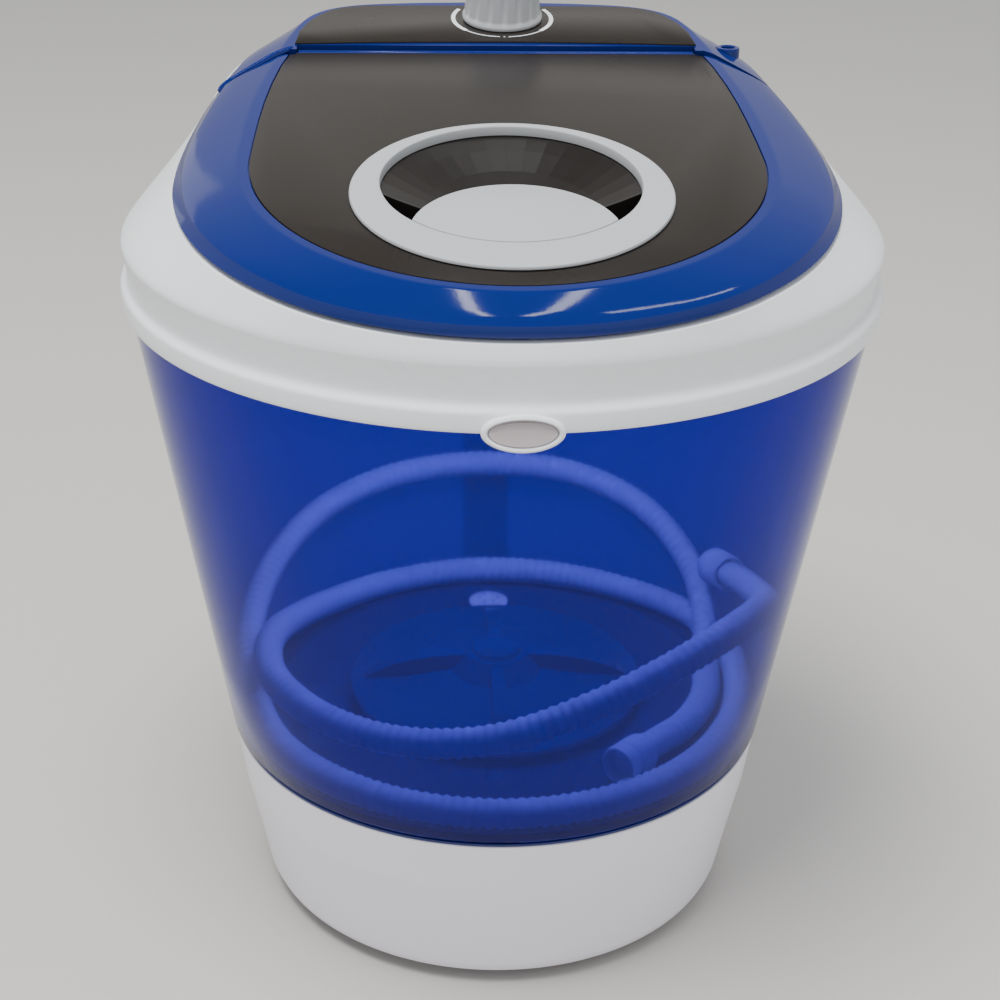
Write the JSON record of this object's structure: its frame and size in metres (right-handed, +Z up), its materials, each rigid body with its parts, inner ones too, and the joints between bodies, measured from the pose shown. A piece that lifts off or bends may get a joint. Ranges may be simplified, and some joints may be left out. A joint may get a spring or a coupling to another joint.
{
  "type": "portable mini washer",
  "caption": "Small top-loading washer: translucent blue tub on a white motor base, sloping white collar, blue framed hinged lid with ring handle, timer knob, loose drain hose inside.",
  "frame": {"origin": "floor level under the middle of the machine's footprint", "axes": "+Z up, the front with the badge faces -Y, +X to the right of a viewer who faces the front"},
  "size_m": [0.362, 0.3688, 0.455],
  "materials": {
    "white_body": "satin moulded plastic",
    "base_white": "satin moulded plastic",
    "tub_blue": "clear tinted plastic",
    "frame_blue": "glossy moulded plastic",
    "charcoal_panel": "brushed satin film",
    "gloss_black": "high gloss",
    "grip_grey": "satin",
    "hose_plastic": "corrugated plastic",
    "rubber_black": "matt",
    "steel": "brushed",
    "motor_paint": "enamel",
    "badge_silver": "satin foil under clear dome"
  },
  "bodies": {
    "cabinet": {"base_housing": "base_white", "base_plate": "base_white", "foot_1": "rubber_black", "foot_2": "rubber_black", "foot_3": "rubber_black", "foot_4": "rubber_black", "base_screw_1": "steel", "base_screw_2": "steel", "base_screw_3": "steel", "base_screw_4": "steel", "bearing_housing": "motor_paint", "shaft_seal": "rubber_black", "drive_belt": "rubber_black", "motor_body": "motor_paint", "motor_bracket": "steel", "capacitor": "white_body", "capacitor_clip": "steel", "drain_pipe": "rubber_black", "drain_spigot": "base_white", "cord_gland": "rubber_black", "wiring_harness": "rubber_black", "tub_shell": "tub_blue", "tub_gasket": "frame_blue", "drain_strainer": "white_body", "drain_hose": "hose_plastic", "hose_cuff_1": "hose_plastic", "hose_cuff_2": "hose_plastic", "top_collar": "white_body", "control_well": "white_body", "hinge_pin_left": "steel", "hinge_pin_right": "steel", "control_housing": "frame_blue", "control_overlay": "charcoal_panel", "timer_body": "white_body", "inlet_spout": "frame_blue", "badge_bezel": "white_body", "badge_plate": "badge_silver", "rear_conduit": "tub_blue"},
    "lid": {"lid_frame": "frame_blue", "lid_panel": "charcoal_panel", "handle_ring": "grip_grey", "finger_well": "gloss_black", "finger_plate": "grip_grey"},
    "pulsator_rotor": {"pulsator": "frame_blue", "pulsator_cap": "frame_blue", "pulsator_shaft": "steel", "driven_pulley": "motor_paint"},
    "motor_rotor": {"motor_shaft": "steel", "motor_pulley": "steel"},
    "timer_dial": {"timer_knob": "grip_grey", "timer_shaft": "steel"}
  },
  "joints": [
    {"name": "lid_hinge", "type": "hinge", "parent": "cabinet", "child": "lid", "pos_m": [0, 0.08717, 0.41514], "axis": [-1, 0, 0], "range_deg": [0, 95]},
    {"name": "pulsator_spin", "type": "hinge", "parent": "cabinet", "child": "pulsator_rotor", "pos_m": [0, 0, 0.1], "axis": [0, 0, 1], "continuous": true},
    {"name": "motor_spin", "type": "hinge", "parent": "cabinet", "child": "motor_rotor", "pos_m": [-0.074, 0, 0.05], "axis": [0, 0, 1], "continuous": true},
    {"name": "timer_turn", "type": "hinge", "parent": "cabinet", "child": "timer_dial", "pos_m": [0.0044, 0.12189, 0.44117], "axis": [0, 0.1533, -0.9882], "range_deg": [0, 300]}
  ],
  "couplings": [
    {"joint": "motor_spin", "follows": "pulsator_spin", "ratio": 3}
  ]
}
